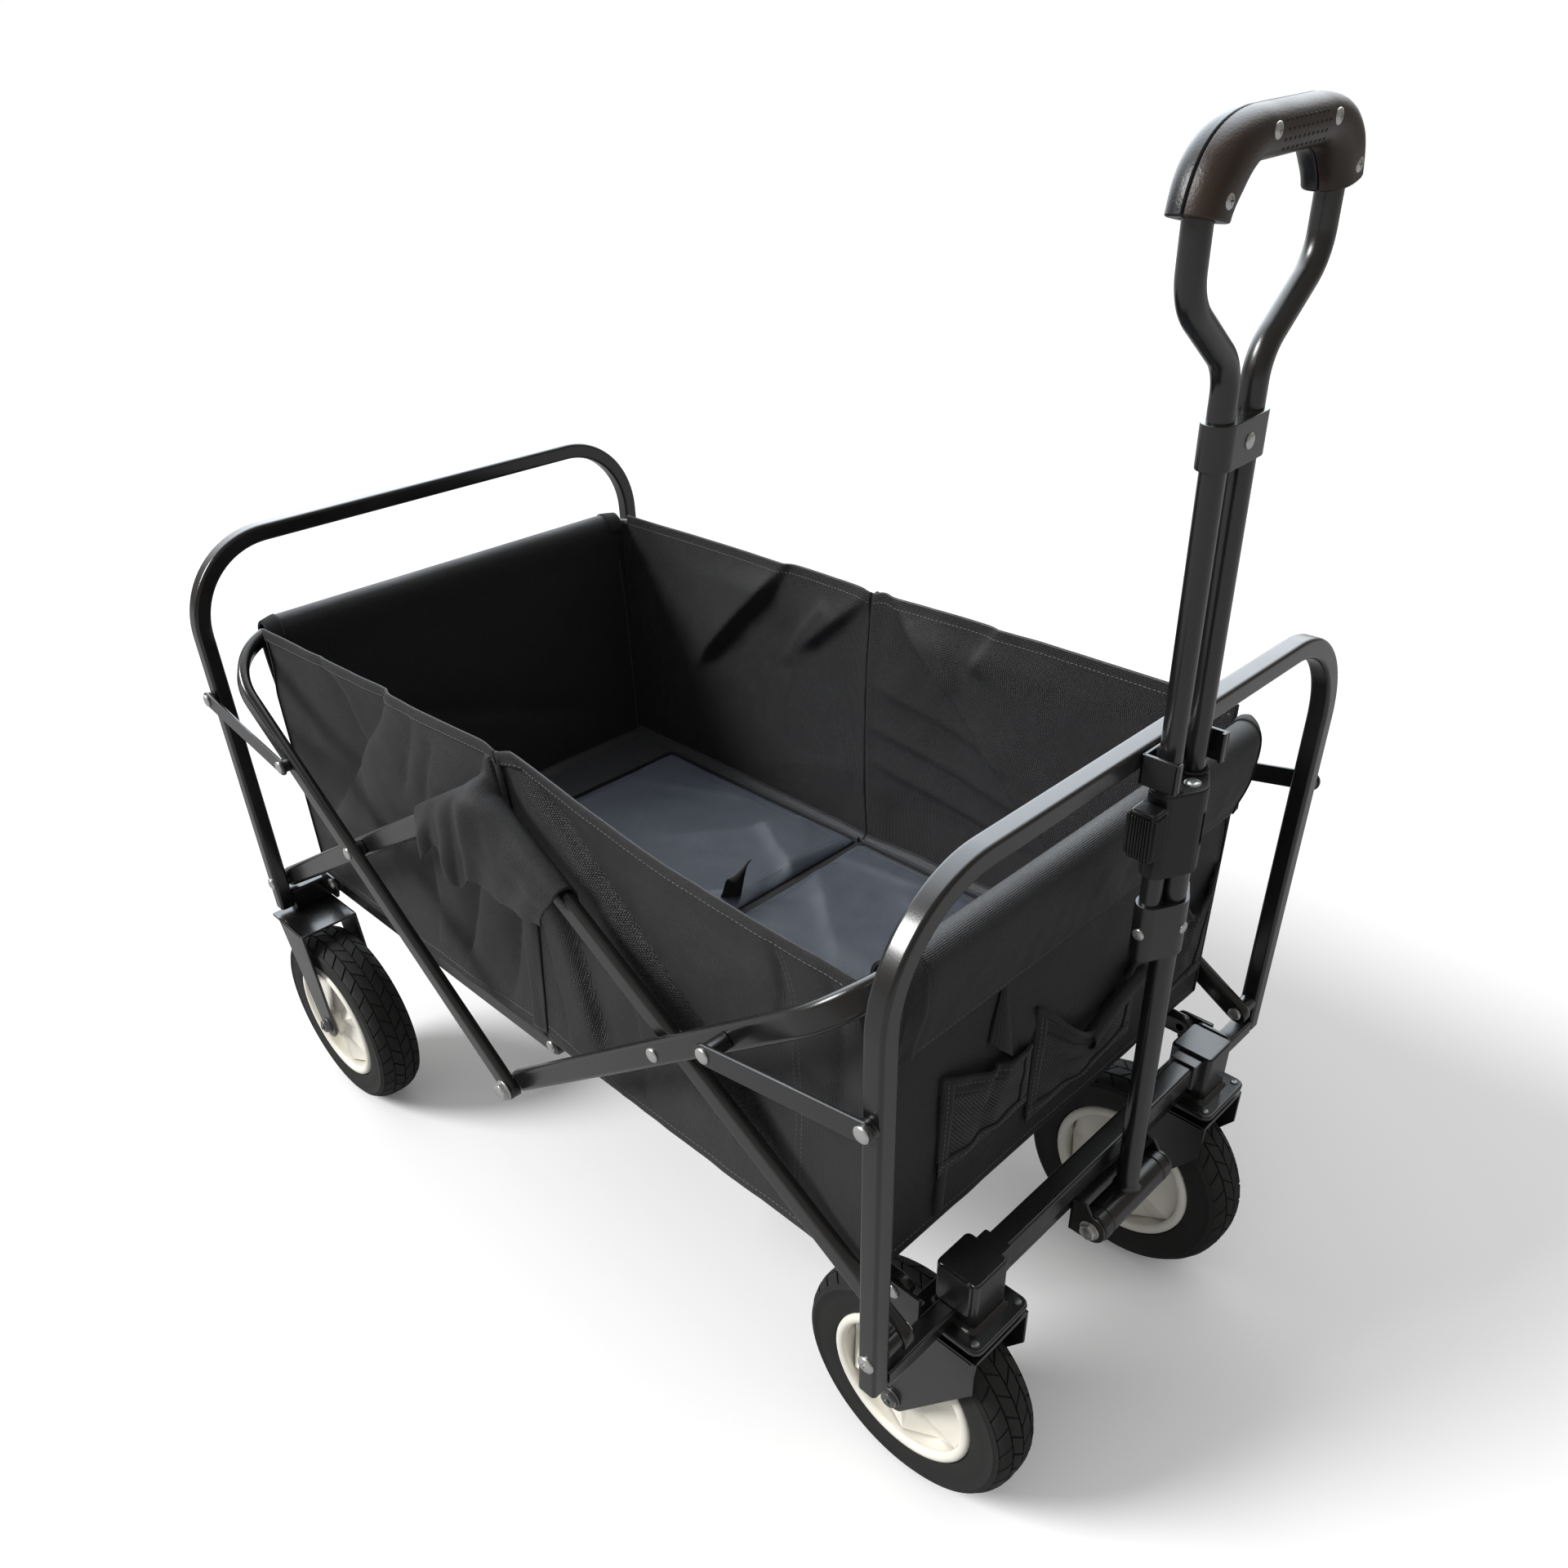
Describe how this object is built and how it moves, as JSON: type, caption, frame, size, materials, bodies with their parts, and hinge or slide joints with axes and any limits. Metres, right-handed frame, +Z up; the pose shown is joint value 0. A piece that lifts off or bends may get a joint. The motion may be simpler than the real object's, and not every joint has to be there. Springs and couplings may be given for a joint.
{
  "type": "collapsible wagon",
  "caption": "Folding utility wagon with a cloth tub on a scissor frame, rear wheels, swivel casters and a telescoping pull handle.",
  "frame": {"origin": "on the ground under the middle of the wagon, midway between the two axles", "axes": "+X forwards, towards the pull handle; +Y to the wagon's left; +Z up"},
  "size_m": [0.9216, 0.5416, 0.9316],
  "materials": {
    "black_paint": "gloss black powder coat on steel tube and sheet",
    "zinc": "zinc-plated bolts and nuts",
    "tyre": "black moulded tread",
    "cream_plastic": "cream moulded rim",
    "black_plastic": "fine-textured black moulding",
    "black_cloth": "woven black polyester",
    "coated_cloth": "coated inner cloth with a soft sheen"
  },
  "bodies": {
    "rear_base": {"rear_frame": "black_paint", "rear_cross_tube": "black_paint", "rear_fork_left": "black_paint", "rear_fork_right": "black_paint", "rear_axle_left": "zinc", "rear_axle_right": "zinc"},
    "rear_arms": {"rear_arm_left": "black_paint", "rear_arm_right": "black_paint"},
    "rear_bail": {"rear_bail": "black_paint", "bail_bolt_left": "zinc", "bail_bolt_right": "zinc"},
    "front_bail": {"front_bail": "black_paint"},
    "front_arms": {"front_arm_left": "black_paint", "front_arm_right": "black_paint"},
    "front_base": {"front_frame": "black_paint", "front_lower_bar": "black_paint", "front_upper_tube": "black_paint", "caster_mount_left": "black_paint", "caster_mount_right": "black_paint", "handle_bracket": "black_paint", "handle_bolt": "zinc", "handle_catch": "black_paint"},
    "rear_links": {"rear_link_left": "black_paint", "rear_link_right": "black_paint"},
    "front_links": {"front_link_left": "black_paint", "front_link_right": "black_paint"},
    "rear_floor": {"rear_floor_frame": "black_paint", "rear_floor_pad": "coated_cloth"},
    "front_floor": {"front_floor_frame": "black_paint", "front_floor_pad": "coated_cloth"},
    "rear_wall": {"rear_wall": "black_cloth", "top_flap_left": "black_cloth", "top_flap_right": "black_cloth"},
    "front_wall": {"front_wall": "black_cloth"},
    "rear_side_left": {"rear_side_left": "black_cloth"},
    "rear_wheel_left": {"rear_hub_left": "cream_plastic", "rear_tyre_left": "tyre"},
    "rear_side_right": {"rear_side_right": "black_cloth"},
    "rear_wheel_right": {"rear_hub_right": "cream_plastic", "rear_tyre_right": "tyre"},
    "front_side_left": {"front_side_left": "black_cloth"},
    "front_wheel_left": {"front_hub_left": "cream_plastic", "front_tyre_left": "tyre"},
    "front_side_right": {"front_side_right": "black_cloth"},
    "front_wheel_right": {"front_hub_right": "cream_plastic", "front_tyre_right": "tyre"},
    "caster_left": {"caster_fork_left": "black_paint", "caster_axle_left": "zinc"},
    "caster_right": {"caster_fork_right": "black_paint", "caster_axle_right": "zinc"},
    "handle": {"handle_main_tube": "black_paint", "handle_fixed_clamp": "black_plastic"},
    "handle_upper": {"handle_grip_tube": "black_paint", "handle_grip": "black_plastic", "handle_sliding_clamp": "black_paint", "handle_band": "black_paint"},
    "release_key": {"handle_release_key": "black_plastic"}
  },
  "joints": [
    {"name": "fold", "type": "hinge", "parent": "rear_base", "child": "rear_arms", "pos_m": [-0.4195, 0, 0.252], "axis": [0, -1, 0], "range_deg": [0, 49.93], "deforming": ["rear_side_left", "rear_side_right", "rear_floor_pad", "front_side_left", "front_side_right", "front_floor_pad", "top_flap_left", "top_flap_right"]},
    {"name": "rear_crossing", "type": "hinge", "parent": "rear_arms", "child": "rear_bail", "pos_m": [-0.20955, 0, 0.37828], "axis": [0, 1, 0], "range_deg": [0, 94.3]},
    {"name": "bail_pivot", "type": "hinge", "parent": "rear_bail", "child": "front_bail", "pos_m": [-0.0105, 0, 0.226], "axis": [0, -1, 0], "range_deg": [0, 88.6]},
    {"name": "front_crossing", "type": "hinge", "parent": "front_bail", "child": "front_arms", "pos_m": [0.18855, 0, 0.37828], "axis": [0, 1, 0], "range_deg": [0, 94.3]},
    {"name": "front_leg_pivot", "type": "hinge", "parent": "front_arms", "child": "front_base", "pos_m": [0.3985, 0, 0.252], "axis": [0, -1, 0], "range_deg": [0, 50.1]},
    {"name": "rear_link_pivot", "type": "hinge", "parent": "rear_base", "child": "rear_links", "pos_m": [-0.4195, 0, 0.462], "axis": [0, -1, 0], "range_deg": [0, 89.8]},
    {"name": "front_link_pivot", "type": "hinge", "parent": "front_base", "child": "front_links", "pos_m": [0.3985, 0, 0.462], "axis": [0, 1, 0], "range_deg": [0, 89.8]},
    {"name": "rear_floor_pivot", "type": "hinge", "parent": "rear_base", "child": "rear_floor", "pos_m": [-0.3895, 0, 0.242], "axis": [0, -1, 0], "range_deg": [0, 83.3]},
    {"name": "front_floor_pivot", "type": "hinge", "parent": "front_base", "child": "front_floor", "pos_m": [0.3685, 0, 0.242], "axis": [0, 1, 0], "range_deg": [0, 83.3]},
    {"name": "rear_wall_hang", "type": "hinge", "parent": "rear_bail", "child": "rear_wall", "pos_m": [-0.3915, 0, 0.51747], "axis": [0, -1, 0], "range_deg": [0, 44.4]},
    {"name": "front_wall_hang", "type": "hinge", "parent": "front_bail", "child": "front_wall", "pos_m": [0.3705, 0, 0.51747], "axis": [0, 1, 0], "range_deg": [0, 44.4]},
    {"name": "rear_side_left_crease", "type": "hinge", "parent": "rear_wall", "child": "rear_side_left", "pos_m": [-0.382, 0.2125, 0.395], "axis": [0, 0, -1], "range_deg": [0, 72.6]},
    {"name": "rear_side_right_crease", "type": "hinge", "parent": "rear_wall", "child": "rear_side_right", "pos_m": [-0.382, -0.2125, 0.395], "axis": [0, 0, 1], "range_deg": [0, 72.6]},
    {"name": "front_side_left_crease", "type": "hinge", "parent": "front_wall", "child": "front_side_left", "pos_m": [0.361, 0.2125, 0.395], "axis": [0, 0, 1], "range_deg": [0, 72.6]},
    {"name": "front_side_right_crease", "type": "hinge", "parent": "front_wall", "child": "front_side_right", "pos_m": [0.361, -0.2125, 0.395], "axis": [0, 0, -1], "range_deg": [0, 72.6]},
    {"name": "rear_wheel_left_spin", "type": "hinge", "parent": "rear_base", "child": "rear_wheel_left", "pos_m": [-0.3615, 0.233, 0.1], "axis": [0, 1, 0], "continuous": true},
    {"name": "caster_left_swivel", "type": "hinge", "parent": "front_base", "child": "caster_left", "pos_m": [0.4025, 0.153, 0.205], "axis": [0, 0, 1], "continuous": true},
    {"name": "front_wheel_left_spin", "type": "hinge", "parent": "caster_left", "child": "front_wheel_left", "pos_m": [0.3615, 0.153, 0.1], "axis": [0, 1, 0], "continuous": true},
    {"name": "rear_wheel_right_spin", "type": "hinge", "parent": "rear_base", "child": "rear_wheel_right", "pos_m": [-0.3615, -0.233, 0.1], "axis": [0, 1, 0], "continuous": true},
    {"name": "caster_right_swivel", "type": "hinge", "parent": "front_base", "child": "caster_right", "pos_m": [0.4025, -0.153, 0.205], "axis": [0, 0, 1], "continuous": true},
    {"name": "front_wheel_right_spin", "type": "hinge", "parent": "caster_right", "child": "front_wheel_right", "pos_m": [0.3615, -0.153, 0.1], "axis": [0, 1, 0], "continuous": true},
    {"name": "handle_swing", "type": "hinge", "parent": "front_base", "child": "handle", "pos_m": [0.4245, 0.014, 0.212], "axis": [0, 1, 0], "range_deg": [0, 100]},
    {"name": "handle_telescope", "type": "slide", "parent": "handle", "child": "handle_upper", "axis": [0, -0.0419, 0.9991], "range_m": [-0.16, 0]},
    {"name": "release_key_pull", "type": "slide", "parent": "handle", "child": "release_key", "axis": [0, -0.9991, -0.0419], "range_m": [0, 0.0045]}
  ],
  "couplings": [
    {"joint": "rear_crossing", "follows": "fold", "ratio": 1.8854},
    {"joint": "bail_pivot", "follows": "fold", "ratio": 1.7709},
    {"joint": "front_crossing", "follows": "fold", "ratio": 1.8854},
    {"joint": "front_leg_pivot", "follows": "fold", "ratio": 1},
    {"joint": "rear_link_pivot", "follows": "fold", "ratio": 1.7955},
    {"joint": "front_link_pivot", "follows": "fold", "ratio": 1.7955},
    {"joint": "rear_floor_pivot", "follows": "fold", "ratio": 1.6659},
    {"joint": "front_floor_pivot", "follows": "fold", "ratio": 1.6659},
    {"joint": "rear_wall_hang", "follows": "fold", "ratio": 0.8854},
    {"joint": "front_wall_hang", "follows": "fold", "ratio": 0.8854},
    {"joint": "rear_side_left_crease", "follows": "fold", "ratio": 1.45},
    {"joint": "rear_side_right_crease", "follows": "fold", "ratio": 1.45},
    {"joint": "front_side_left_crease", "follows": "fold", "ratio": 1.45},
    {"joint": "front_side_right_crease", "follows": "fold", "ratio": 1.45}
  ]
}
